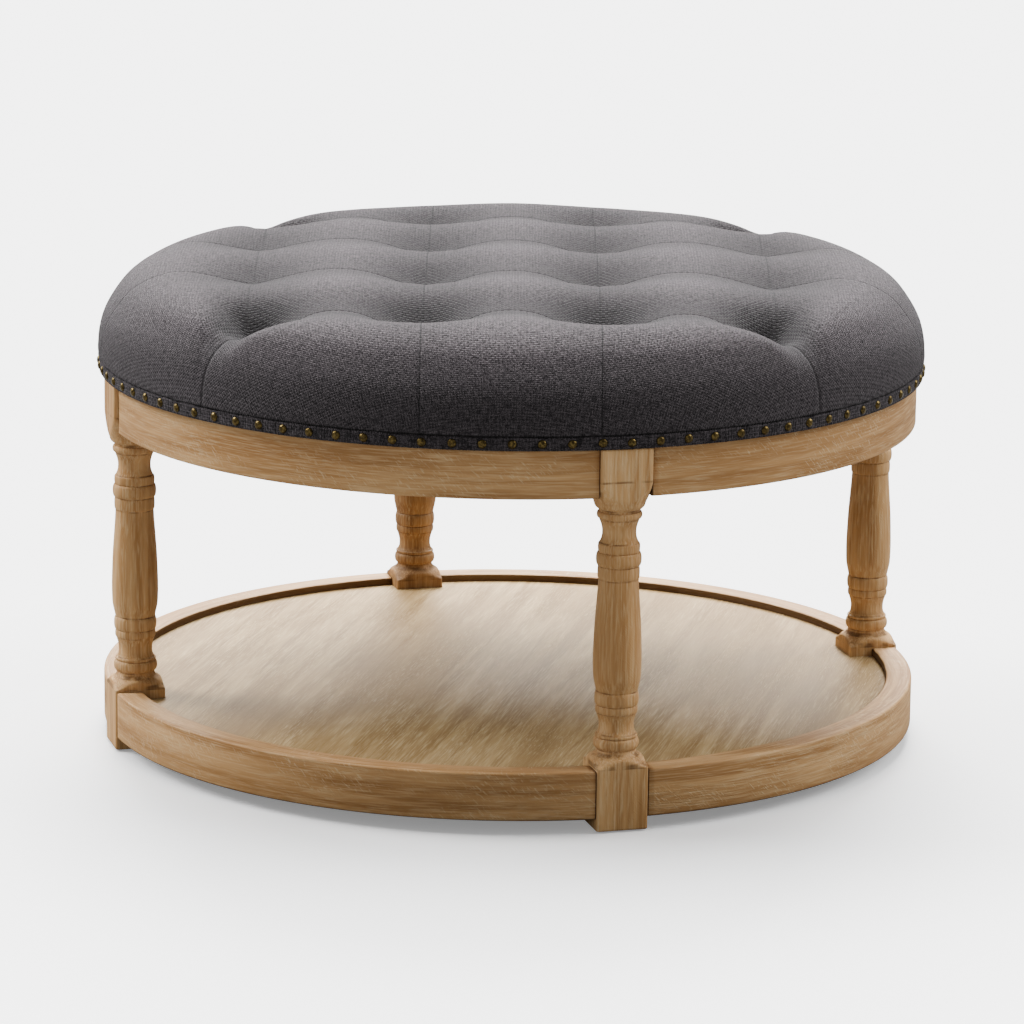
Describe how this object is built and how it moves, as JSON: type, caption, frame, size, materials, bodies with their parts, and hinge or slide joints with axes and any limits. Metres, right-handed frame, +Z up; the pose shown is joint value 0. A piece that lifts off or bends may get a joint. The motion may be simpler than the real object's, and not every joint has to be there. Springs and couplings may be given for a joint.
{
  "type": "ottoman coffee table",
  "caption": "Round padded seat with sewn channels and blind tufts, nailed trim band, turned legs and a round rimmed shelf below.",
  "frame": {"origin": "on the floor under the middle of the table", "axes": "+Z up along the table's axis; the four legs stand on the X and Y axes, the front one on -Y; the tuft grid is turned 15.5 degrees clockwise from them, seen from above"},
  "size_m": [0.9132, 0.9132, 0.5364],
  "materials": {
    "limed_wood": "limed, satin",
    "shelf_wood": "limed, satin",
    "inner_wood": "sawn, unfinished",
    "plywood": "unfinished",
    "felt": "pressed felt",
    "steel": "zinc plated",
    "foam": "open-cell foam",
    "linen": "heathered linen weave",
    "antique_brass": "antiqued, satin",
    "dust_cloth": "non-woven cloth",
    "twine": "waxed twine"
  },
  "bodies": {
    "root": {"leg_front": "limed_wood", "corner_block_front": "inner_wood", "shelf_cleat_front": "inner_wood", "leg_right": "limed_wood", "corner_block_right": "inner_wood", "shelf_cleat_right": "inner_wood", "leg_back": "limed_wood", "corner_block_back": "inner_wood", "shelf_cleat_back": "inner_wood", "leg_left": "limed_wood", "corner_block_left": "inner_wood", "shelf_cleat_left": "inner_wood", "apron_front_right": "limed_wood", "shelf_rim_front_right": "limed_wood", "apron_back_right": "limed_wood", "shelf_rim_back_right": "limed_wood", "apron_back_left": "limed_wood", "shelf_rim_back_left": "limed_wood", "apron_front_left": "limed_wood", "shelf_rim_front_left": "limed_wood", "shelf_panel": "shelf_wood", "foot_pads": "felt", "leg_bolts": "steel", "leg_nuts": "steel", "deck_screws": "steel", "shelf_screws": "steel", "seat_deck": "plywood", "seat_foam": "foam", "seat_cover": "linen", "trim_band": "linen", "trim_nails": "antique_brass", "dust_cover": "dust_cloth", "tuft_twine": "twine", "tuft_staples": "steel"}
  },
  "joints": []
}
